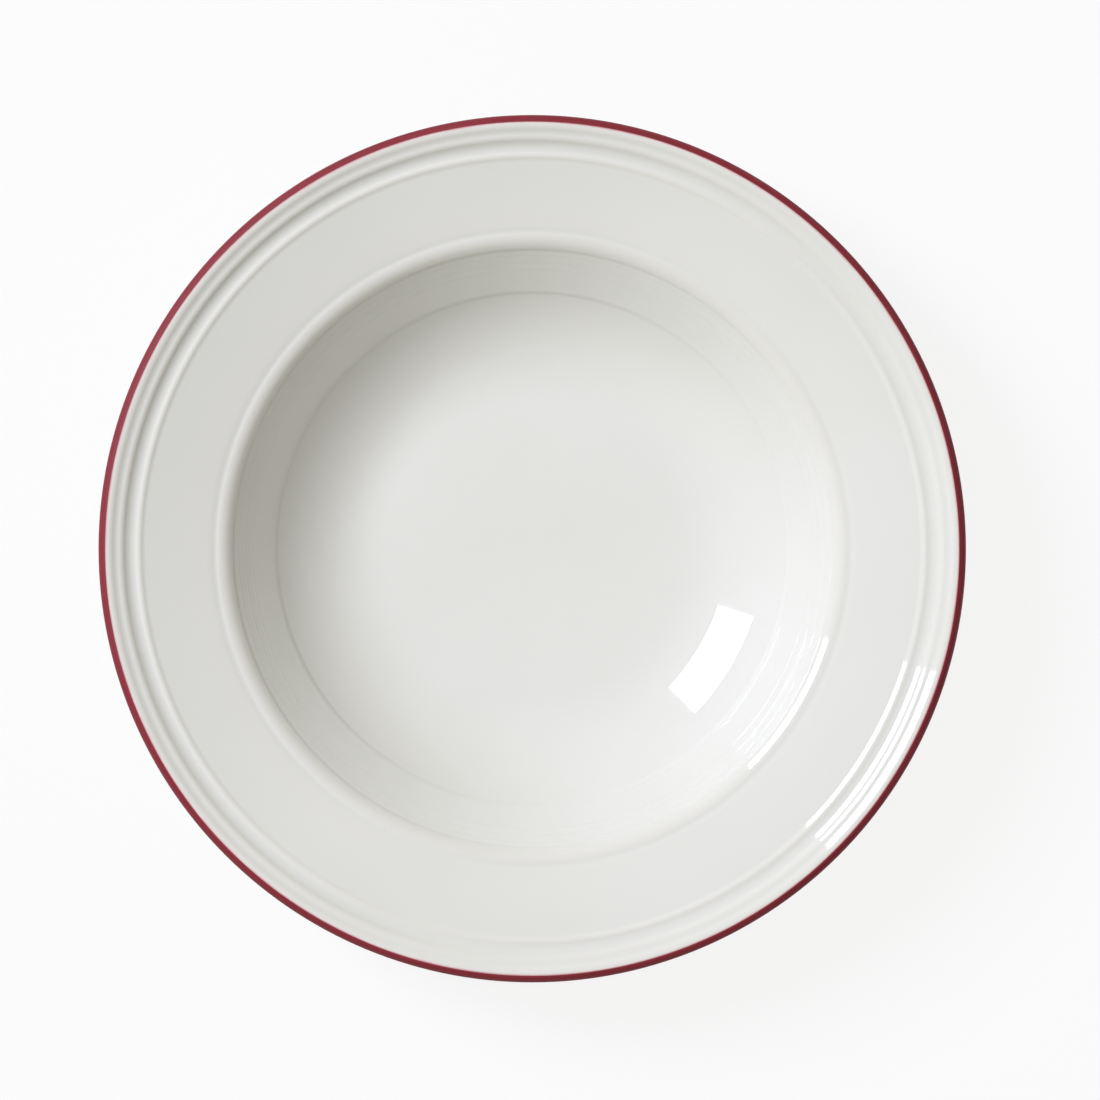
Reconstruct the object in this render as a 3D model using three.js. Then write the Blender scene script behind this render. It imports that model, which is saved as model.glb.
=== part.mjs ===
// Pasta plate: a deep, broad-rimmed plate of vitrified ceramic, glazed everywhere but on the
// landing of its foot ring, with a red line laid into the glaze round the edge.
//
// Millimetres, +Z up. The origin is on the axis, in the plane that the foot ring stands on.
// Every piece is a solid of revolution. The skin of the fired body is walked once, from the
// middle of the well out over the rim and back underneath to the axis. The glazes and the
// red line are coats of one thickness that lie on stretches of that skin.

import * as THREE from "three";

// Well, from the axis outwards. Every angle is in degrees of rise, going outwards.
const FLOOR_RADIUS = 53;
const BOWL_RADIUS = 55;
const WALL_ANGLE = 47;
const WALL_LENGTH = 17.5;

// Shoulder, where the wall rolls over on to the rim, with the fine groove pressed behind it.
const SHOULDER_RADIUS = 7;
const SHOULDER_TOP_ANGLE = 5;
const GROOVE_HOLLOW_RADIUS = 7.25;
const GROOVE_ANGLE = 18;
const GROOVE_BACK_RADIUS = 22;

// Rim: the plain flange, then the pressed moulding of a bead, a step and a lip.
const FLANGE_ANGLE = 13.5;
const FLANGE_LENGTH = 21.57;
const BEAD_HOLLOW_RADIUS = 5.8;
const BEAD_FACE_ANGLE = 28;
const BEAD_RADIUS = 2.75;
const BEAD_BACK_ANGLE = -6;
const STEP_HOLLOW_RADIUS = 5.7;
const STEP_FACE_ANGLE = 41;
const STEP_RADIUS = 3.5;
const STEP_TOP_ANGLE = 10;
const LIP_HOLLOW_RADIUS = 6.3;
const LIP_FACE_ANGLE = 31;
const LIP_CROWN_RADIUS = 4.1;
const LIP_RADIUS = 2.6;
const LIP_UNDER_RADIUS = 2;

// Thickness of the body, of its base inside the foot ring, and of the coats on it.
const BODY_THICKNESS = 4.6;
const BASE_THICKNESS = 5;
const GLAZE_THICKNESS = 0.25;

// Foot ring. Its outer face stands this far outside the flat of the floor.
const FOOT_OUTSET = 14;
const FOOT_WIDTH = 5;
const FOOT_RECESS_DEPTH = 2.6;
const FOOT_CORNER_RADIUS = 1;
const FOOT_OUTER_FILLET = 2.5;
const FOOT_INNER_FILLET = 1.4;

// The red line starts just outside the crown of the lip and ends under the edge. Its angles
// are also those of the skin: 0 at the crown, -90 at the widest point of the plate.
const LINE_START_ANGLE = -6;
const LINE_END_ANGLE = -125;

// Facets: the most that a chord may leave a curve of the skin, and the sides of each circle.
const CHORD_SAG = 0.06;
const ROUND_SIDES = 48;

// Colours and finishes.
const BODY_MATERIAL = new THREE.MeshStandardMaterial({ color: 0xdcd8cc, roughness: 0.75, metalness: 0 });
const GLAZE_MATERIAL = new THREE.MeshStandardMaterial({ color: 0xe8e8e4, roughness: 0.06, metalness: 0 });
const LINE_MATERIAL = new THREE.MeshStandardMaterial({ color: 0x8f2936, roughness: 0.55, metalness: 0 });

const UNDERSIDE = -180;
const STRAIGHT_DOWN = -90;
const STRAIGHT_UP = -270;

const sine = (degrees) => Math.sin(THREE.MathUtils.degToRad(degrees));
const cosine = (degrees) => Math.cos(THREE.MathUtils.degToRad(degrees));

// Unit vector out of the body, to the left of a heading in the plane of radius and height.
const outward = (heading) => new THREE.Vector2(-sine(heading), cosine(heading));

// The skin as stations: a point in radius and height, and the heading of the walk there.
const skin = [];

function station(point, heading) {
  skin.push({ point, heading });
}

// A straight stretch to a point that lies ahead on the present heading.
function runTo(point) {
  station(point, skin.at(-1).heading);
}

function run(length) {
  const { point, heading } = skin.at(-1);
  const ahead = new THREE.Vector2(cosine(heading), sine(heading));
  runTo(point.clone().addScaledVector(ahead, length));
}

// A round stretch to a new heading. A falling heading rolls over material, and a rising one
// sweeps a hollow. Its centre is returned.
function turn(radius, toHeading) {
  const { point, heading } = skin.at(-1);
  const reach = toHeading < heading ? radius : -radius;
  const centre = point.clone().addScaledVector(outward(heading), -reach);
  const widestStep = THREE.MathUtils.radToDeg(2 * Math.acos(1 - CHORD_SAG / radius));
  const steps = Math.max(1, Math.ceil(Math.abs(toHeading - heading) / widestStep));
  for (let i = 1; i <= steps; i++) {
    const there = THREE.MathUtils.lerp(heading, toHeading, i / steps);
    station(centre.clone().addScaledVector(outward(there), reach), there);
  }
  return centre;
}

// Upper side: floor, bowl, wall, shoulder, flange and moulding, up to the crown of the lip.
const floorHeight = FOOT_RECESS_DEPTH + BASE_THICKNESS;
station(new THREE.Vector2(0, floorHeight), 0);
run(FLOOR_RADIUS);
const bowlCentre = turn(BOWL_RADIUS, WALL_ANGLE);
run(WALL_LENGTH);
const shoulderCentre = turn(SHOULDER_RADIUS, SHOULDER_TOP_ANGLE);
turn(GROOVE_HOLLOW_RADIUS, GROOVE_ANGLE);
turn(GROOVE_BACK_RADIUS, FLANGE_ANGLE);
run(FLANGE_LENGTH);
turn(BEAD_HOLLOW_RADIUS, BEAD_FACE_ANGLE);
turn(BEAD_RADIUS, BEAD_BACK_ANGLE);
turn(STEP_HOLLOW_RADIUS, STEP_FACE_ANGLE);
turn(STEP_RADIUS, STEP_TOP_ANGLE);
turn(LIP_HOLLOW_RADIUS, LIP_FACE_ANGLE);
turn(LIP_CROWN_RADIUS, 0);

// Lip: over the crown, down the edge and round to the plain underside of the rim, which is
// parallel to the flange and leaves the underside of the shoulder one body thickness in.
const shoulderUnderRadius = SHOULDER_RADIUS - BODY_THICKNESS;
const flangeUnder = shoulderCentre.clone().addScaledVector(outward(FLANGE_ANGLE), shoulderUnderRadius);
turn(LIP_RADIUS, LINE_START_ANGLE);
const lineStart = skin.length - 1;
turn(LIP_RADIUS, STRAIGHT_DOWN);
const edgeRadius = skin.at(-1).point.x;
const underLipRadius = edgeRadius - LIP_UNDER_RADIUS;
const underLipHeight =
  flangeUnder.y +
  (underLipRadius - flangeUnder.x) * (sine(FLANGE_ANGLE) / cosine(FLANGE_ANGLE)) +
  LIP_UNDER_RADIUS / cosine(FLANGE_ANGLE);
runTo(new THREE.Vector2(edgeRadius, underLipHeight));
turn(LIP_UNDER_RADIUS, LINE_END_ANGLE);
const lineEnd = skin.length - 1;
turn(LIP_UNDER_RADIUS, UNDERSIDE + FLANGE_ANGLE);

// Underside: parallel to the shoulder, the wall and the bowl, one body thickness away from them.
runTo(flangeUnder);
turn(shoulderUnderRadius, UNDERSIDE + WALL_ANGLE);
run(WALL_LENGTH);

// Foot ring: a fillet of its own on the round bowl, an upright ring, and a flat landing.
const bowlUnderRadius = BOWL_RADIUS + BODY_THICKNESS;
const footOuterRadius = FLOOR_RADIUS + FOOT_OUTSET;
const filletFromBowl = footOuterRadius + FOOT_OUTER_FILLET - bowlCentre.x;
const filletSlope = THREE.MathUtils.radToDeg(
  Math.asin(filletFromBowl / (bowlUnderRadius + FOOT_OUTER_FILLET)),
);
turn(bowlUnderRadius, UNDERSIDE + filletSlope);
turn(FOOT_OUTER_FILLET, STRAIGHT_DOWN);
const footOuterGlazeEnd = skin.length - 1;
runTo(new THREE.Vector2(footOuterRadius, FOOT_CORNER_RADIUS));
turn(FOOT_CORNER_RADIUS, UNDERSIDE);
run(FOOT_WIDTH - 2 * FOOT_CORNER_RADIUS);
turn(FOOT_CORNER_RADIUS, STRAIGHT_UP);
const footInnerGlazeStart = skin.length;
runTo(new THREE.Vector2(footOuterRadius - FOOT_WIDTH, FOOT_RECESS_DEPTH - FOOT_INNER_FILLET));
turn(FOOT_INNER_FILLET, UNDERSIDE);
runTo(new THREE.Vector2(0, FOOT_RECESS_DEPTH));

// A closed solid of revolution about Z. Its profile has the material on the right of the walk,
// and a lathe faces outwards when it is given the points the other way round.
function revolved(name, profile, material) {
  const geometry = new THREE.LatheGeometry(profile.toReversed(), ROUND_SIDES).rotateX(Math.PI / 2);
  const mesh = new THREE.Mesh(geometry, material);
  mesh.name = name;
  return mesh;
}

// A coat on the skin from one station to another, closed by its two thin ends.
function coat(name, first, last, material) {
  const stretch = skin.slice(first, last + 1);
  const outside = stretch.map(({ point, heading }) =>
    point.clone().addScaledVector(outward(heading), GLAZE_THICKNESS),
  );
  const inside = stretch.map(({ point }) => point).reverse();
  return revolved(name, [...outside, ...inside, outside[0]], material);
}

const plate = new THREE.Group();
plate.add(
  revolved("ceramic_body", skin.map(({ point }) => point), BODY_MATERIAL),
  coat("face_glaze", 0, lineStart, GLAZE_MATERIAL),
  coat("rim_line", lineStart, lineEnd, LINE_MATERIAL),
  coat("underside_glaze", lineEnd, footOuterGlazeEnd, GLAZE_MATERIAL),
  coat("foot_recess_glaze", footInnerGlazeStart, skin.length - 1, GLAZE_MATERIAL),
);

export default plate;
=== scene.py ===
# %% [markdown]
# # A glazed pasta plate, turned in Geometry Nodes
#
# The plate is a deep, broad-rimmed one for pasta: off-white glaze, pressed rings near the edge
# and a claret line on the lip. It is a solid of revolution, so the lesson walks along its outline
# once, cuts the outline into the layers that a potter would name, and turns each of them round
# the axis with one node tree. The finishes come after the shapes, then the studio.
#
# The imported model is loaded first. It gives the frame that every piece has to fit, and its box
# is kept: the camera is placed from it, and it is printed at the end.

# %% Load the frame
import math

import bmesh
import bpy
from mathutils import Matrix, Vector


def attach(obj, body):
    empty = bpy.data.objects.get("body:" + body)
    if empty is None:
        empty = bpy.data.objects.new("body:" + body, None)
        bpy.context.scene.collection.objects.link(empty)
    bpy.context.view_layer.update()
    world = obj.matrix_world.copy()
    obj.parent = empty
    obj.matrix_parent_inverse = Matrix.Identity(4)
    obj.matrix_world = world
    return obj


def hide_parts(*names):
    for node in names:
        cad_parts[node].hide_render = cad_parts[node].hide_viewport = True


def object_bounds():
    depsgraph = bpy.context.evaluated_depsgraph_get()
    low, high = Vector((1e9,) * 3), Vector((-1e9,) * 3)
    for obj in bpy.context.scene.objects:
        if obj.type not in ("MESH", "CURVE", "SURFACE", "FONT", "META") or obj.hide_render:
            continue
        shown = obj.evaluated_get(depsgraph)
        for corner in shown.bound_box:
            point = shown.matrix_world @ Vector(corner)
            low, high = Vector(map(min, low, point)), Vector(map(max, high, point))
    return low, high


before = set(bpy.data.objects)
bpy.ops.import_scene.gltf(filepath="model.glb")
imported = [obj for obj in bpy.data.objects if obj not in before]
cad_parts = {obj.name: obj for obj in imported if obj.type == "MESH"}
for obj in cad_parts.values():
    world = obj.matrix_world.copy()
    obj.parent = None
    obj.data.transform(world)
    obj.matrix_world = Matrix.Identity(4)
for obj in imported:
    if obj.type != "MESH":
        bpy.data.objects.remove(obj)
cad_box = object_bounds()

# %% [markdown]
# ## The outline of the fired body
#
# On the real plate a spinning former presses soft clay to a template. The template is the
# outline, and it is made of straight runs and round turns that join without a corner. It could
# be drawn as a Bezier curve, but runs and turns keep the true radii and angles of the plate.
# The outline is a walk: each station has a place, in radius and height, a heading, and the
# curvature of the way to it. A heading of 0 goes straight outwards, and the material is always
# on the right hand.

# %% Walking helpers
MM = 0.001
TURN_STEP = 2.0


def outward(heading):
    """The direction out of the clay, on the left of a heading."""
    return Vector((-math.sin(math.radians(heading)), math.cos(math.radians(heading))))


def run_to(walk, place):
    """Goes straight to a place that lies ahead."""
    walk.append((place, walk[-1][1], 0.0))


def run(walk, length):
    """Goes straight ahead for a length."""
    place, heading, _ = walk[-1]
    ahead = Vector((math.cos(math.radians(heading)), math.sin(math.radians(heading))))
    run_to(walk, place + ahead * length)


def turn(walk, radius, heading_to, widest_step=TURN_STEP):
    """Goes round to a new heading and returns the centre. A falling heading rolls over a crest."""
    place, heading, _ = walk[-1]
    crest = heading_to < heading
    reach = radius if crest else -radius
    centre = place - outward(heading) * reach
    steps = max(2, math.ceil(abs(heading_to - heading) / widest_step))
    for step in range(1, steps + 1):
        there = heading + (heading_to - heading) * step / steps
        walk.append((centre + outward(there) * reach, there, (-1.0 if crest else 1.0) / radius))
    return centre


# %% [markdown]
# The upper side starts in the middle of the well. It runs over the flat floor, up the round
# bowl and its straight wall and over the shoulder, and dips into the fine groove behind it.
# Then come the flange and the three pressed rings: a bead, a step and the lip. Each ring is a
# hollow and a crest, given by its radius and the heading at its end. Two short stretches, at the
# heel of the wall and just below the shoulder, get finer steps, because the glaze swells there.

# %% Walk the upper side
BODY_THICKNESS = 4.6 * MM
BASE_THICKNESS = 5.0 * MM
FOOT_RECESS_DEPTH = 2.6 * MM
FLOOR_RADIUS = 53.0 * MM
BOWL_RADIUS = 55.0 * MM
WALL_ANGLE = 47.0
WALL_LENGTH = 17.5 * MM
HEEL_START_ANGLE = 41.0
HEEL_END_ANGLE = 44.5
FINE_STEP = 0.25
PLAIN_WALL = 15.4 * MM
FINE_RUNS = 8
SHOULDER_RADIUS = 7.0 * MM
SHOULDER_TOP_ANGLE = 5.0
GROOVE_HOLLOW_RADIUS = 7.25 * MM
GROOVE_ANGLE = 18.0
GROOVE_BACK_RADIUS = 22.0 * MM
FLANGE_ANGLE = 13.5
FLANGE_LENGTH = 21.57 * MM
BEAD = ((5.8 * MM, 28.0), (2.75 * MM, -6.0))
STEP = ((5.7 * MM, 41.0), (3.5 * MM, 10.0))
LIP_FACE = ((6.3 * MM, 31.0), (4.1 * MM, 0.0))

skin = [(Vector((0.0, FOOT_RECESS_DEPTH + BASE_THICKNESS)), 0.0, 0.0)]
run(skin, FLOOR_RADIUS)
turn(skin, BOWL_RADIUS, HEEL_START_ANGLE)
turn(skin, BOWL_RADIUS, HEEL_END_ANGLE, FINE_STEP)
bowl_centre = turn(skin, BOWL_RADIUS, WALL_ANGLE)
run(skin, PLAIN_WALL)
for _ in range(FINE_RUNS):
    run(skin, (WALL_LENGTH - PLAIN_WALL) / FINE_RUNS)
shoulder_centre = turn(skin, SHOULDER_RADIUS, SHOULDER_TOP_ANGLE)
turn(skin, GROOVE_HOLLOW_RADIUS, GROOVE_ANGLE)
turn(skin, GROOVE_BACK_RADIUS, FLANGE_ANGLE)
run(skin, FLANGE_LENGTH)
for ring_radius, ring_angle in (*BEAD, *STEP, *LIP_FACE):
    turn(skin, ring_radius, ring_angle)
crown = skin[-1][0] / MM
print(f"crown of the lip at {crown.x:.2f} mm from the axis, {crown.y:.2f} mm up")

# %% [markdown]
# The walk goes on over the lip and back underneath. The underside is parallel to the upper
# side, one thickness of clay away, down to the foot ring. The numbers of the stations where
# the claret line and the bare foot start and end are noted on the way.

# %% Walk the lip and the underside
LIP_RADIUS = 2.6 * MM
LIP_UNDER_RADIUS = 2.0 * MM
LINE_START_ANGLE = -6.0
LINE_END_ANGLE = -125.0
STRAIGHT_DOWN = -90.0
STRAIGHT_IN = -180.0
STRAIGHT_UP = -270.0

under_radius = SHOULDER_RADIUS - BODY_THICKNESS
flange_under = shoulder_centre + outward(FLANGE_ANGLE) * under_radius
turn(skin, LIP_RADIUS, LINE_START_ANGLE)
line_start = len(skin) - 1
turn(skin, LIP_RADIUS, STRAIGHT_DOWN)
edge_radius = skin[-1][0].x
rise = math.tan(math.radians(FLANGE_ANGLE))
under_lip_height = flange_under.y + (edge_radius - LIP_UNDER_RADIUS - flange_under.x) * rise
under_lip_height += LIP_UNDER_RADIUS / math.cos(math.radians(FLANGE_ANGLE))
run_to(skin, Vector((edge_radius, under_lip_height)))
turn(skin, LIP_UNDER_RADIUS, LINE_END_ANGLE)
line_end = len(skin) - 1
turn(skin, LIP_UNDER_RADIUS, STRAIGHT_IN + FLANGE_ANGLE)
run_to(skin, flange_under)
turn(skin, under_radius, STRAIGHT_IN + WALL_ANGLE)
run(skin, WALL_LENGTH)
print(f"widest at {edge_radius / MM:.2f} mm from the axis")
print(f"claret line over stations {line_start} to {line_end}")

# %% [markdown]
# The foot ring leaves the round underside of the bowl in a fillet, stands upright and has a flat
# landing between two rounded corners. Inside it, a second fillet leads to the flat recess. The
# glaze ends on both sides of the ring, so that the plate does not stick to the kiln shelf.

# %% Walk the foot ring
FOOT_OUTER_RADIUS = 67.0 * MM
FOOT_WIDTH = 5.0 * MM
FOOT_CORNER = 1.0 * MM
FOOT_OUTER_FILLET = 2.5 * MM
FOOT_INNER_FILLET = 1.4 * MM

bowl_under = BOWL_RADIUS + BODY_THICKNESS
fillet_out = FOOT_OUTER_RADIUS + FOOT_OUTER_FILLET - bowl_centre.x
fillet_angle = math.degrees(math.asin(fillet_out / (bowl_under + FOOT_OUTER_FILLET)))
turn(skin, bowl_under, STRAIGHT_IN + fillet_angle)
turn(skin, FOOT_OUTER_FILLET, STRAIGHT_DOWN)
outer_glaze_end = len(skin) - 1
run_to(skin, Vector((FOOT_OUTER_RADIUS, FOOT_CORNER)))
turn(skin, FOOT_CORNER, STRAIGHT_IN)
run(skin, FOOT_WIDTH - 2 * FOOT_CORNER)
turn(skin, FOOT_CORNER, STRAIGHT_UP)
inner_foot = FOOT_OUTER_RADIUS - FOOT_WIDTH
run_to(skin, Vector((inner_foot, FOOT_RECESS_DEPTH - FOOT_INNER_FILLET)))
inner_glaze_start = len(skin) - 1
turn(skin, FOOT_INNER_FILLET, STRAIGHT_IN)
run_to(skin, Vector((0.0, FOOT_RECESS_DEPTH)))
print(len(skin), "stations from the middle of the well to the middle of the foot")

# %% [markdown]
# ## What the glaze needs to know
#
# Molten glaze runs off crests and gathers in hollows, so it is thin and warm on the rings and
# deep and cool between them. The curvature of the outline says where: it is smoothed over the
# millimetre that glaze flows, and kept as the number `pool`. The claret colour creeps a little
# into the white glaze beside it, so `to_line` keeps how far each station lies from the nearer
# edge of the line, along the skin. Both could be painted by hand, but a rule stays exact.

# %% Measure pooling and the way to the line
GLAZE_FLOW = 1.1 * MM
FLOW_REACH = 3.0
FULL_POOL = 170.0

along = [0.0]
for here, there in zip(skin, skin[1:]):
    along.append(along[-1] + (there[0] - here[0]).length)


def smoothed_curve(station):
    """The curvature near a station, with nearer stations counting more."""
    total = 0.0
    weights = 0.0
    for other in range(1, len(skin)):
        gap = (0.5 * (along[other] + along[other - 1]) - along[station]) / GLAZE_FLOW
        if abs(gap) < FLOW_REACH:
            weight = (along[other] - along[other - 1]) * math.exp(-gap * gap)
            total += weight * skin[other][2]
            weights += weight
    return total / weights if weights else 0.0


pool = [max(-1.0, min(1.0, smoothed_curve(station) / FULL_POOL)) for station in range(len(skin))]
to_line = [max(along[line_start] - here, here - along[line_end]) for here in along]
line_width = along[line_end] - along[line_start]
print(f"deepest pool {max(pool):.2f}, barest crest {min(pool):.2f}")
print(f"the claret line is {line_width / MM:.2f} mm wide along the skin")

# %% [markdown]
# ## Layers
#
# A coat follows a stretch of the skin a quarter of a millimetre outside it. Where two coats
# meet, their ends are square and flush. Where glaze stops on bare clay, surface tension rounds
# its edge into a small roll, so there the coat swells a touch and then thins out along an
# ellipse. On the face, the glaze also gathered in two low swells while it was wet: one at the
# heel of the wall and one just below the shoulder, each steep on its lower side. They draw the
# two fine dark lines that edge the shaded wall.
#
# The clay under a coat never shows, so there it and the inside of the coat share fewer stations,
# and they still touch everywhere.

# %% Thickness of a coat
COAT = 0.25 * MM
ROLL = 0.7 * MM
ROLL_SWELL = 0.25


def coat_depth(from_end, rounded):
    """The share of its full thickness that a coat has at a distance from one of its ends."""
    if not rounded or from_end >= 2 * ROLL:
        return 1.0
    swell = 1.0 + ROLL_SWELL * math.sin(math.pi * min(1.0, from_end / (2 * ROLL)))
    if from_end >= ROLL:
        return swell
    return swell * math.sqrt(max(0.0, 1.0 - (1.0 - from_end / ROLL) ** 2))


# %% Swells of the glaze on the face
HEEL_SWELL = (89.5 * MM, 91.2 * MM, 103.9 * MM, 0.3 * MM)
SHOULDER_SWELL = (103.9 * MM, 104.9 * MM, 110.0 * MM, 0.2 * MM)


def glaze_swell(radius):
    """How much thicker the glaze of the face is at a radius. A swell has a start, crest and end."""
    for start, crest, end, height in (HEEL_SWELL, SHOULDER_SWELL):
        if start < radius <= crest:
            share = (radius - start) / (crest - start)
            return height * share * share * (3 - 2 * share)
        if crest < radius < end:
            return height * (end - radius) / (end - crest)
    return 0.0


# %% Outline of a coat
HIDDEN_STRIDE = 3


def stations_on_clay(first, last):
    """The fewer stations that a hidden stretch of the clay needs."""
    return sorted({first, last, *range(first, last, HIDDEN_STRIDE)})


def coat_outline(first, last, round_first=False, round_last=False, swells=False):
    """The outline of a coat as (place, pool, to_line), open only where it meets the axis."""
    outside = []
    for station in range(first, last + 1):
        place, heading, _ = skin[station]
        depth = coat_depth(along[station] - along[first], round_first)
        depth *= coat_depth(along[last] - along[station], round_last)
        thickness = COAT * depth + (glaze_swell(place.x) if swells else 0.0)
        outside.append((place + outward(heading) * thickness, pool[station], to_line[station]))
    hidden = reversed(stations_on_clay(first, last))
    inside = [(skin[i][0], pool[i], to_line[i]) for i in hidden]
    if skin[first][0].x == 0.0:
        return outside + inside
    if skin[last][0].x == 0.0:
        return inside + outside
    return outside + inside + outside[:1]


# %% Cut the outline into layers
last_station = len(skin) - 1
face_outline = coat_outline(0, line_start, swells=True)
line_outline = coat_outline(line_start, line_end)
under_outline = coat_outline(line_end, outer_glaze_end, round_last=True)
recess_outline = coat_outline(inner_glaze_start, last_station, round_first=True)

body_stations = set(range(outer_glaze_end, inner_glaze_start + 1))
coat_ends = (0, line_start, line_end, outer_glaze_end)
for first, last in (*zip(coat_ends, coat_ends[1:]), (inner_glaze_start, last_station)):
    body_stations.update(stations_on_clay(first, last))
body_outline = [(skin[i][0], pool[i], to_line[i]) for i in sorted(body_stations)]
print("stations of the clay and of the face:", len(body_outline), len(face_outline))
print("line, underside, recess:", len(line_outline), len(under_outline), len(recess_outline))

# %% [markdown]
# ## One tree that turns an outline
#
# Spin, the Screw modifier and Curve to Mesh can all turn an outline. This tree shows the idea
# most plainly: a flat grid has one row for each station and one column for each step of the
# turn, and every point of it is moved to the radius and height of its station. The two numbers
# of the stations are carried over first, while the grid is still flat and a row can be told by
# its place. Points that then lie together, at the seam and on the axis, are merged.

# %% Helpers that place nodes
def place_node(tree, kind, inputs, **settings):
    """Adds a node, sets it, and fills its inputs with links or plain values."""
    node = tree.nodes.new(kind)
    for name, value in settings.items():
        setattr(node, name, value)
    for key, value in inputs.items():
        if isinstance(value, bpy.types.NodeSocket):
            tree.links.new(value, node.inputs[key])
        else:
            node.inputs[key].default_value = value
    return node


def reckon(tree, operation, first, second=0.0):
    """The result of a Math node on one or two numbers."""
    inputs = {0: first, 1: second}
    return place_node(tree, "ShaderNodeMath", inputs, operation=operation).outputs[0]


# %% Start the tree: its inputs and the flat grid
turning = bpy.data.node_groups.new("Turned outline", "GeometryNodeTree")
sockets = turning.interface
sockets.new_socket("Outline", in_out="INPUT", socket_type="NodeSocketGeometry")
sides_input = sockets.new_socket("Sides", in_out="INPUT", socket_type="NodeSocketInt")
finish_input = sockets.new_socket("Finish", in_out="INPUT", socket_type="NodeSocketMaterial")
sockets.new_socket("Piece", in_out="OUTPUT", socket_type="NodeSocketGeometry")
given = turning.nodes.new("NodeGroupInput").outputs


def in_turning(kind, inputs, output=0, **settings):
    """Places a node in the turning tree and returns one of its outputs."""
    return place_node(turning, kind, inputs, **settings).outputs[output]


outline = given["Outline"]
stations = in_turning("GeometryNodeAttributeDomainSize", {0: outline}, "Point Count")
columns = reckon(turning, "ADD", given["Sides"], 1.0)
grid_size = {"Size X": 1.0, "Size Y": 1.0, "Vertices X": columns, "Vertices Y": stations}
grid = in_turning("GeometryNodeMeshGrid", grid_size, "Mesh")
print("inputs of the tree:", [socket.name for socket in given if socket.name])

# %% Row and angle of each grid point
position = in_turning("GeometryNodeInputPosition", {})
on_grid = place_node(turning, "ShaderNodeSeparateXYZ", {0: position}).outputs
share = reckon(turning, "ADD", on_grid["X"], 0.5)
angle = reckon(turning, "MULTIPLY", share, 2 * math.pi)
up_share = reckon(turning, "ADD", on_grid["Y"], 0.5)
last_row = reckon(turning, "SUBTRACT", stations, 1.0)
row = reckon(turning, "ROUND", reckon(turning, "MULTIPLY", up_share, last_row))


def from_outline(value, kind):
    """What a value is at the station of a row."""
    inputs = {"Geometry": outline, "Value": value, "Index": row}
    return in_turning("GeometryNodeSampleIndex", inputs, data_type=kind, domain="POINT")


# %% Carry the two numbers over
carried = grid
for number in ("pool", "to_line"):
    on_outline = in_turning(
        "GeometryNodeInputNamedAttribute", {"Name": number}, "Attribute", data_type="FLOAT"
    )
    carried = in_turning(
        "GeometryNodeStoreNamedAttribute",
        {"Geometry": carried, "Name": number, "Value": from_outline(on_outline, "FLOAT")},
        data_type="FLOAT",
        domain="POINT",
    )

# %% Move the grid to the outline
station_place = from_outline(position, "FLOAT_VECTOR")
spot = place_node(turning, "ShaderNodeSeparateXYZ", {0: station_place}).outputs
across = reckon(turning, "MULTIPLY", reckon(turning, "COSINE", angle), spot["X"])
deep = reckon(turning, "MULTIPLY", reckon(turning, "SINE", angle), spot["X"])
turned_spot = in_turning("ShaderNodeCombineXYZ", {"X": across, "Y": deep, "Z": spot["Z"]})
turned = in_turning("GeometryNodeSetPosition", {"Geometry": carried, "Position": turned_spot})

# %% Close the seam, smooth the faces and end the tree
SEAM_GAP = 1e-6
SHARP_BEND = math.radians(40)

closed = in_turning("GeometryNodeMergeByDistance", {"Geometry": turned, "Distance": SEAM_GAP})
smooth = in_turning(
    "GeometryNodeSetShadeSmooth", {"Geometry": closed, "Shade Smooth": True}, domain="FACE"
)
bend = in_turning("GeometryNodeInputMeshEdgeAngle", {}, "Unsigned Angle")
corner = in_turning(
    "FunctionNodeCompare", {0: bend, 1: SHARP_BEND}, data_type="FLOAT", operation="GREATER_THAN"
)
creased = in_turning(
    "GeometryNodeSetShadeSmooth",
    {"Geometry": smooth, "Selection": corner, "Shade Smooth": False},
    domain="EDGE",
)
real = in_turning("GeometryNodeRealizeInstances", {"Geometry": creased})
finished = in_turning("GeometryNodeSetMaterial", {"Geometry": real, "Material": given["Finish"]})
turning.links.new(finished, turning.nodes.new("NodeGroupOutput").inputs["Piece"])
print(len(turning.nodes), "nodes in the turning tree")

# %% [markdown]
# ## Finishes
#
# ### Off-white glaze
#
# The glaze is glossy and nearly even. Up close it has faint clouds in its colour, a ripple that
# bends reflections a little, the fine orange peel of a fired surface, and wipe marks in its
# gloss. It is warm and thin on crests, cool and deep in hollows, and pink beside the claret
# line. The pressing tool left ridges about a twentieth of a millimetre high on the wall of the
# well, which draw thin bright lines beside the mirrored lamp, and finer turning marks underneath.
# A Principled shader takes all of these, because each is a change of one of its inputs.

# %% Helpers for the finishes
def plain_finish(name):
    """A new node material with its tree, its shader and its place on the object."""
    finish = bpy.data.materials.new(name)
    finish.use_nodes = True
    tree = finish.node_tree
    where = place_node(tree, "ShaderNodeTexCoord", {}).outputs["Object"]
    return finish, tree, tree.nodes["Principled BSDF"], where


def colour_ramp(tree, factor, stops):
    """A colour ramp over a factor, from (position, colour) stops."""
    ramp = place_node(tree, "ShaderNodeValToRGB", {0: factor})
    ends = ramp.color_ramp.elements
    while len(ends) < len(stops):
        ends.new(0.5)
    for end, (position, colour) in zip(ends, stops):
        end.position = position
        end.color = (*colour, 1.0)
    return ramp.outputs["Color"]


def stretched(tree, value, from_range, to_range):
    """A value moved from one range to another and held inside it."""
    inputs = {"Value": value}
    inputs["From Min"], inputs["From Max"] = from_range
    inputs["To Min"], inputs["To Max"] = to_range
    return place_node(tree, "ShaderNodeMapRange", inputs).outputs["Result"]


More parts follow.
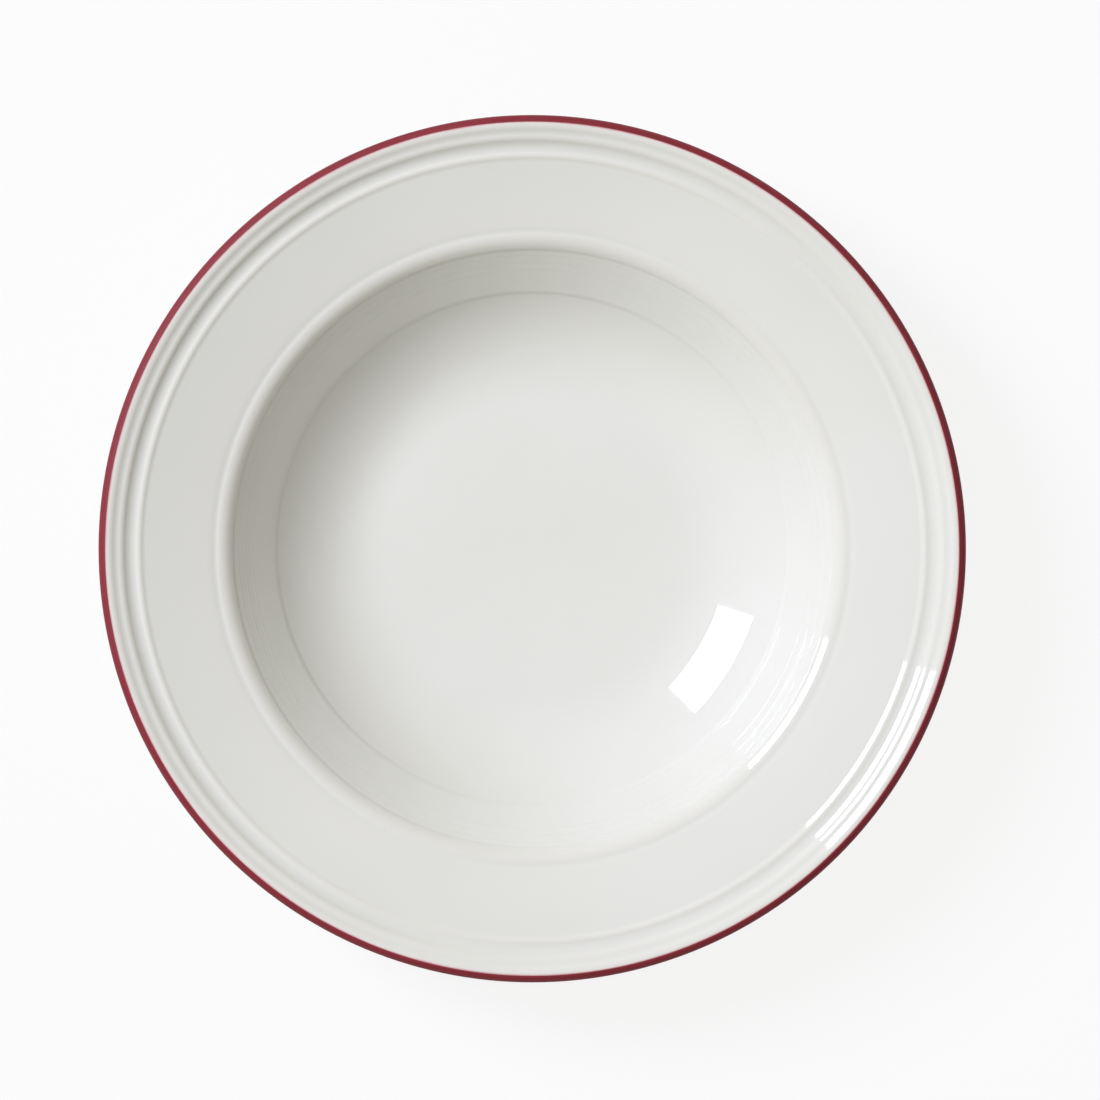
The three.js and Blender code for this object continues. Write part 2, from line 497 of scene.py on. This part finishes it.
def mixed(tree, factor, first, second, blend="MIX"):
    """Two colours mixed by a factor. The sockets for colours are 6, 7 and the third output."""
    inputs = {0: factor, 6: first, 7: second}
    mix = place_node(tree, "ShaderNodeMix", inputs, data_type="RGBA", blend_type=blend)
    return mix.outputs[2]


def bumped(tree, height, depth, below=None):
    """A bump of a height that reaches a depth in metres, over another bump if there is one."""
    inputs = {"Height": height, "Distance": depth, "Strength": 1.0}
    if below is not None:
        inputs["Normal"] = below
    return place_node(tree, "ShaderNodeBump", inputs).outputs["Normal"]


def noise(tree, where, scale, detail=2.0, roughness=0.5):
    """A noise between 0 and 1."""
    inputs = {"Vector": where, "Scale": scale, "Detail": detail, "Roughness": roughness}
    return place_node(tree, "ShaderNodeTexNoise", inputs).outputs["Fac"]


def number_on_skin(tree, name):
    """A number that the outline carries."""
    return place_node(tree, "ShaderNodeAttribute", {}, attribute_name=name).outputs["Fac"]


# %% Colours of the off-white glaze
GLAZE_WHITES = ((0.3, (0.790, 0.790, 0.740)), (0.7, (0.810, 0.810, 0.762)))
POOL_TINTS = (
    (0.0, (1.0, 0.992, 0.978)),
    (0.5, (1.0, 1.0, 1.0)),
    (1.0, (0.972, 0.980, 0.974)),
)
BLEED_PINK = (0.60, 0.200, 0.225, 1.0)
BLEED_REACH = (0.45 * MM, 0.85 * MM)
BLEED_FALL = 1.6


def glaze_colour(tree, where):
    """Clouded white, tinted by how deep the glaze pools and pink beside the claret line."""
    clouds = noise(tree, where, scale=16.0, detail=3.0)
    white = colour_ramp(tree, clouds, GLAZE_WHITES)
    depth = stretched(tree, number_on_skin(tree, "pool"), (-1.0, 1.0), (0.0, 1.0))
    white = mixed(tree, 1.0, white, colour_ramp(tree, depth, POOL_TINTS), "MULTIPLY")
    waver = noise(tree, where, scale=90.0, detail=3.0)
    creep = stretched(tree, waver, (0.3, 0.7), BLEED_REACH)
    share_out = reckon(tree, "DIVIDE", number_on_skin(tree, "to_line"), creep)
    share_left = stretched(tree, share_out, (0.0, 1.0), (1.0, 0.0))
    bleed = reckon(tree, "POWER", share_left, BLEED_FALL)
    return mixed(tree, bleed, white, BLEED_PINK)


# %% Ridges on the wall of the well
FIRST_RIDGE = 91.15 * MM
RIDGE_STEP = 2.28 * MM
RIDGE_SHARPNESS = 30.0
UPPER_RIDGES = (3, 6)


def ridge_height(tree, where, radius):
    """Nearly 1 on the ridge at the wall's heel and on the upper ridges, 0 between them."""
    lowest, highest = UPPER_RIDGES
    from_first = reckon(tree, "SUBTRACT", radius, FIRST_RIDGE)
    ridges_up = reckon(tree, "DIVIDE", from_first, RIDGE_STEP)
    wave = reckon(tree, "COSINE", reckon(tree, "MULTIPLY", ridges_up, 2 * math.pi))
    ridges = reckon(tree, "POWER", reckon(tree, "MAXIMUM", wave, 0.0), RIDGE_SHARPNESS)
    at_heel = reckon(tree, "LESS_THAN", reckon(tree, "ABSOLUTE", ridges_up), 0.5)
    above_gap = reckon(tree, "GREATER_THAN", ridges_up, lowest - 0.5)
    below_top = reckon(tree, "LESS_THAN", ridges_up, highest + 0.5)
    on_wall = reckon(tree, "MULTIPLY", above_gap, below_top)
    ridges = reckon(tree, "MULTIPLY", ridges, reckon(tree, "MAXIMUM", at_heel, on_wall))
    worn = stretched(tree, noise(tree, where, scale=30.0), (0.35, 0.65), (0.7, 1.0))
    return reckon(tree, "MULTIPLY", ridges, worn)


# %% Make the off-white glaze
RIPPLE_DEPTH = 0.05 * MM
PEEL_DEPTH = 0.0012 * MM
GLAZE_ROUGHNESS = (0.025, 0.05)
GLAZE_IOR = 1.5


def glaze_finish(name, turning_marks, wall_ridges):
    """The off-white glaze. Its turning marks and the wall's ridges have depths in metres."""
    finish, tree, shader, where = plain_finish(name)
    tree.links.new(glaze_colour(tree, where), shader.inputs["Base Color"])
    wipes = noise(tree, where, scale=22.0, detail=4.0, roughness=0.6)
    wiped = stretched(tree, wipes, (0.35, 0.75), GLAZE_ROUGHNESS)
    tree.links.new(wiped, shader.inputs["Roughness"])
    surface = bumped(tree, noise(tree, where, scale=30.0, detail=1.0), RIPPLE_DEPTH)
    surface = bumped(tree, noise(tree, where, scale=700.0, detail=1.0), PEEL_DEPTH, surface)
    level = {0: where, 1: (1.0, 1.0, 0.0)}
    flat = place_node(tree, "ShaderNodeVectorMath", level, operation="MULTIPLY").outputs[0]
    length = place_node(tree, "ShaderNodeVectorMath", {0: flat}, operation="LENGTH")
    radius = length.outputs["Value"]
    if turning_marks:
        rings = place_node(tree, "ShaderNodeCombineXYZ", {"X": radius}).outputs[0]
        marks = noise(tree, rings, scale=420.0, detail=3.0, roughness=0.6)
        surface = bumped(tree, marks, turning_marks, surface)
    if wall_ridges:
        surface = bumped(tree, ridge_height(tree, where, radius), wall_ridges, surface)
    tree.links.new(surface, shader.inputs["Normal"])
    shader.inputs["IOR"].default_value = GLAZE_IOR
    return finish


face_finish = glaze_finish("face_white_glaze", turning_marks=0.0, wall_ridges=0.055 * MM)
under_finish = glaze_finish("underside_white_glaze", turning_marks=0.03 * MM, wall_ridges=0.0)
print("made", face_finish.name, "and", under_finish.name)

# %% [markdown]
# ### Claret line
#
# The line is laid on with a loaded brush while the plate spins, and fired into the glaze. It has
# long, thin brush streaks round the plate, is paler where the stroke feathers out at its two
# edges, and is duller than the white glaze. The streaks are a noise that is stretched along the
# rim: the way across the line counts far more than the way round it.

# %% Make the claret line
CLARET_TONES = (
    (0.25, (0.188, 0.013, 0.024)),
    (0.55, (0.240, 0.020, 0.033)),
    (0.85, (0.290, 0.033, 0.049)),
)
FEATHER_PINK = (0.40, 0.080, 0.100, 1.0)
FEATHER_WIDTH = 0.22 * MM
STREAK_STRETCH = 60.0
STREAK_DEPTH = 0.02 * MM
LINE_ROUGHNESS = (0.52, 0.66)
LINE_SPECULAR = 0.34

line_finish, tree, shader, where = plain_finish("claret_line")
inside = number_on_skin(tree, "to_line")
rim_spot = place_node(tree, "ShaderNodeSeparateXYZ", {0: where}).outputs
stroke = reckon(tree, "MULTIPLY", inside, STREAK_STRETCH)
brush_spot = {"X": rim_spot["X"], "Y": rim_spot["Y"], "Z": stroke}
brush = place_node(tree, "ShaderNodeCombineXYZ", brush_spot).outputs[0]
streaks = noise(tree, brush, scale=26.0, detail=4.0, roughness=0.6)
claret = colour_ramp(tree, streaks, CLARET_TONES)
feather = stretched(tree, inside, (-FEATHER_WIDTH, 0.0), (0.0, 0.5))
claret = mixed(tree, feather, claret, FEATHER_PINK)
tree.links.new(claret, shader.inputs["Base Color"])
dull = stretched(tree, streaks, (0.2, 0.8), LINE_ROUGHNESS)
tree.links.new(dull, shader.inputs["Roughness"])
tree.links.new(bumped(tree, streaks, STREAK_DEPTH), shader.inputs["Normal"])
shader.inputs["Specular IOR Level"].default_value = LINE_SPECULAR
print("made", line_finish.name)

# %% [markdown]
# ### Bare clay
#
# Only the foot ring is bare. Fired clay without glaze is matt, warm and finely grained, with a
# few darker specks and slight scuffs from the tables that it has stood on.

# %% Make the bare clay
CLAY_TONES = ((0.3, (0.60, 0.565, 0.485)), (0.7, (0.72, 0.69, 0.61)))
SPECK_BROWN = (0.33, 0.27, 0.20, 1.0)
SCUFF_GREY = (0.47, 0.455, 0.43, 1.0)
GRAIN_DEPTH = 0.04 * MM
CLAY_ROUGHNESS = (0.68, 0.85)

clay_finish, tree, shader, where = plain_finish("bare_clay")
grain = noise(tree, where, scale=1500.0, detail=3.0, roughness=0.6)
clay = colour_ramp(tree, grain, CLAY_TONES)
spread = {"Vector": where, "Scale": 520.0}
specks = place_node(tree, "ShaderNodeTexVoronoi", spread).outputs["Distance"]
speck_share = stretched(tree, specks, (0.08, 0.16), (0.5, 0.0))
clay = mixed(tree, speck_share, clay, SPECK_BROWN)
rubs = noise(tree, where, scale=120.0, detail=4.0, roughness=0.65)
scuff_share = stretched(tree, rubs, (0.55, 0.7), (0.0, 0.35))
clay = mixed(tree, scuff_share, clay, SCUFF_GREY)
tree.links.new(clay, shader.inputs["Base Color"])
matt_grain = stretched(tree, grain, (0.2, 0.8), CLAY_ROUGHNESS)
tree.links.new(matt_grain, shader.inputs["Roughness"])
tree.links.new(bumped(tree, grain, GRAIN_DEPTH), shader.inputs["Normal"])
print("made", clay_finish.name)

# %% [markdown]
# ## Turning the layers
#
# Each outline becomes a string of points with its two numbers, and the tree turns it. The
# evaluated result is copied to a plain mesh and the modifier is taken off, so that the export
# finds finished pieces. The normals of each closed shell are set to point outwards. Then every
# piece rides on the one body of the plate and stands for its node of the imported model.

# %% Helper that turns an outline into a plain piece
SIDES = 240


def turned_piece(name, outline, finish):
    """Turns an outline of (place, pool, to_line) and returns the finished piece."""
    string = bpy.data.meshes.new(name + "_outline")
    places, pools, ways_to_line = zip(*outline)
    points = [(place.x, 0.0, place.y) for place in places]
    string.from_pydata(points, [(i, i + 1) for i in range(len(points) - 1)], [])
    for number, values in (("pool", pools), ("to_line", ways_to_line)):
        string.attributes.new(number, "FLOAT", "POINT").data.foreach_set("value", values)
    piece = bpy.data.objects.new(name, string)
    bpy.context.scene.collection.objects.link(piece)
    turner = piece.modifiers.new("Turn", "NODES")
    turner.node_group = turning
    turner[sides_input.identifier] = SIDES
    turner[finish_input.identifier] = finish
    evaluated = piece.evaluated_get(bpy.context.evaluated_depsgraph_get())
    plain = bpy.data.meshes.new_from_object(evaluated)
    piece.modifiers.remove(turner)
    piece.data = plain
    return piece


# %% Turn each layer and seat it
def turn_layer(name, outline, finish, node):
    """Turns a layer, faces its closed shell outwards and seats it on the plate's body."""
    piece = turned_piece(name, outline, finish)
    shell = bmesh.new()
    shell.from_mesh(piece.data)
    bmesh.ops.recalc_face_normals(shell, faces=shell.faces)
    shell.to_mesh(piece.data)
    open_edges = sum(1 for edge in shell.edges if not edge.is_manifold)
    shell.free()
    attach(piece, "root")
    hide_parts(node)
    print(f"{name}: {len(piece.data.polygons)} faces, {open_edges} open edges")


turn_layer("Clay_body", body_outline, clay_finish, "ceramic_body")
turn_layer("Face_glaze", face_outline, face_finish, "face_glaze")
turn_layer("Claret_line", line_outline, line_finish, "rim_line")
turn_layer("Underside_glaze", under_outline, under_finish, "underside_glaze")
turn_layer("Foot_recess_glaze", recess_outline, under_finish, "foot_recess_glaze")

# %% [markdown]
# ## Studio
#
# The photograph looks straight down at a plate on pure white. One tall, upright lamp stands to
# the upper left: its mirror image is the bright four-sided patch in the well and the lines on
# the rings. The rest of the light is a dim room. It is cool overhead, warm towards the two walls
# beside the lamp, and dark low down, and the glaze of the shaded wall mirrors that dark up to
# where it starts to mirror the lit rim opposite. Each of the three is a soft lobe of the world:
# the cube of how far a direction agrees with the lobe's own.
#
# The floor is pale, takes the shadow, and far away it curves up into a low wall, as a sweep of
# paper does. It could be a flat plane, but then the dark room would show behind the plate from
# the side. It is one more outline for the turning tree. What the camera and mirror-like surfaces
# see of it is mostly its own white, so it comes out nearly as bright as the white of the
# photograph while it sends no more light on to the plate than a pale table does.

# %% Paper for the floor
def seen_directly(tree):
    """1 on rays from the camera and on mirror and glass rays, otherwise 0."""
    rays = place_node(tree, "ShaderNodeLightPath", {}).outputs
    seen = rays["Is Camera Ray"]
    for kind in ("Is Glossy Ray", "Is Transmission Ray"):
        seen = reckon(tree, "MAXIMUM", seen, rays[kind])
    return seen


PAPER_GREY = (0.82, 0.82, 0.82, 1.0)
PAPER_WHITE = (1.0, 1.0, 1.0, 1.0)
WHITE_SHARE = 0.86

paper = bpy.data.materials.new("white_paper")
paper.use_nodes = True
tree = paper.node_tree
tree.nodes.remove(tree.nodes["Principled BSDF"])
matt = place_node(tree, "ShaderNodeBsdfDiffuse", {"Color": PAPER_GREY}).outputs[0]
glowing = {"Color": PAPER_WHITE, "Strength": 1.0}
glow = place_node(tree, "ShaderNodeEmission", glowing).outputs[0]
shown = reckon(tree, "MULTIPLY", seen_directly(tree), WHITE_SHARE)
sheet = place_node(tree, "ShaderNodeMixShader", {0: shown, 1: matt, 2: glow}).outputs[0]
tree.links.new(sheet, tree.nodes["Material Output"].inputs["Surface"])
print("made", paper.name)

# %% Floor that curves up into a low wall
FLOOR_REACH = 12.0
FLOOR_CURVE = 1.2
FLOOR_WALL = 0.7

sweep = [(Vector((0.0, 0.0)), 0.0, 0.0)]
run(sweep, FLOOR_REACH - FLOOR_CURVE)
turn(sweep, FLOOR_CURVE, 90.0)
run(sweep, FLOOR_WALL)
floor = turned_piece("Floor", [(place, 0.0, 0.0) for place, _, _ in sweep], paper)
print(f"floor {2 * FLOOR_REACH:.0f} m wide, its wall {sweep[-1][0].y:.1f} m high")

# %% Room light
ROOM_LOBES = (
    ((0.0, 0.0, 1.0), (0.518, 0.510, 0.616)),
    ((-0.45, -0.75, 0.48), (0.445, 0.418, 0.203)),
    ((0.45, 0.75, 0.48), (0.335, 0.300, 0.089)),
)
LOBE_POWER = 3.0
BLACK = (0.0, 0.0, 0.0)

room = bpy.data.worlds.new("Room")
bpy.context.scene.world = room
room.use_nodes = True
tree = room.node_tree
looking = place_node(tree, "ShaderNodeTexCoord", {}).outputs["Generated"]
room_colour = (*BLACK, 1.0)
for towards, colour in ROOM_LOBES:
    both = {0: looking, 1: towards}
    agreement = place_node(tree, "ShaderNodeVectorMath", both, operation="DOT_PRODUCT")
    facing = reckon(tree, "MAXIMUM", agreement.outputs["Value"], 0.0)
    lobe = reckon(tree, "POWER", facing, LOBE_POWER)
    lobe_colour = colour_ramp(tree, lobe, ((0.0, BLACK), (1.0, colour)))
    room_colour = mixed(tree, 1.0, room_colour, lobe_colour, "ADD")
tree.links.new(room_colour, tree.nodes["Background"].inputs["Color"])
print("room light from", len(ROOM_LOBES), "lobes")

# %% Upright lamp
LAMP_BEARING = 149.0
LAMP_AWAY = 1.45
LAMP_MIDDLE = 1.757
LAMP_WIDTH = 0.72
LAMP_HEIGHT = 1.67
LAMP_WATTS = 65.9
LAMP_COLOUR = (0.861, 0.881, 1.0)

lamp_data = bpy.data.lights.new("Upright_lamp", "AREA")
lamp_data.shape = "RECTANGLE"
lamp_data.size = LAMP_WIDTH
lamp_data.size_y = LAMP_HEIGHT
lamp_data.energy = LAMP_WATTS
lamp_data.color = LAMP_COLOUR
lamp = bpy.data.objects.new("Upright_lamp", lamp_data)
bpy.context.scene.collection.objects.link(lamp)
bearing = math.radians(LAMP_BEARING)
towards_lamp = Vector((math.cos(bearing), math.sin(bearing), 0.0))
lamp.location = towards_lamp * LAMP_AWAY + Vector((0.0, 0.0, LAMP_MIDDLE))
lamp.rotation_euler = towards_lamp.to_track_quat("Z", "Y").to_euler()
lamp.visible_camera = False
print(f"lamp {LAMP_WIDTH} by {LAMP_HEIGHT} m, {LAMP_AWAY} m away")

# %% [markdown]
# ## Camera
#
# All rings of the photograph share one centre, so the camera is straight above. The plate is
# a little left of the middle of the frame, so the camera stands a little to its right. The lens
# is found from the plate: its radius takes up 434.6 of the 1100 pixels at this distance.

# %% Camera straight above
FRAME_PIXELS = 1100
PLATE_PIXELS = 434.6
PIXELS_RIGHT = 17.8
PIXELS_UP = -1.3
CAMERA_ABOVE_RIM = 1.45
SENSOR_WIDTH = 36.0

plate_radius = cad_box[1][0]
rim_height = cad_box[1][2]
metres_per_pixel = plate_radius / PLATE_PIXELS
camera_data = bpy.data.cameras.new("Camera")
camera_data.sensor_width = SENSOR_WIDTH
frame_width = FRAME_PIXELS * metres_per_pixel
camera_data.lens = SENSOR_WIDTH * CAMERA_ABOVE_RIM / frame_width
camera = bpy.data.objects.new("Camera", camera_data)
bpy.context.scene.collection.objects.link(camera)
camera.location = (
    PIXELS_RIGHT * metres_per_pixel,
    PIXELS_UP * metres_per_pixel,
    rim_height + CAMERA_ABOVE_RIM,
)
bpy.context.scene.camera = camera
bpy.context.scene.view_settings.view_transform = "Standard"
print(f"lens {camera_data.lens:.1f} mm, {CAMERA_ABOVE_RIM} m above the rim")

# %% [markdown]
# ## The box of the imported model
#
# The finished plate has to fill the same box as the imported model. That box is printed here.

# %% Print the box of the imported model
print("packed box:", [[round(v, 4) for v in corner] for corner in cad_box])
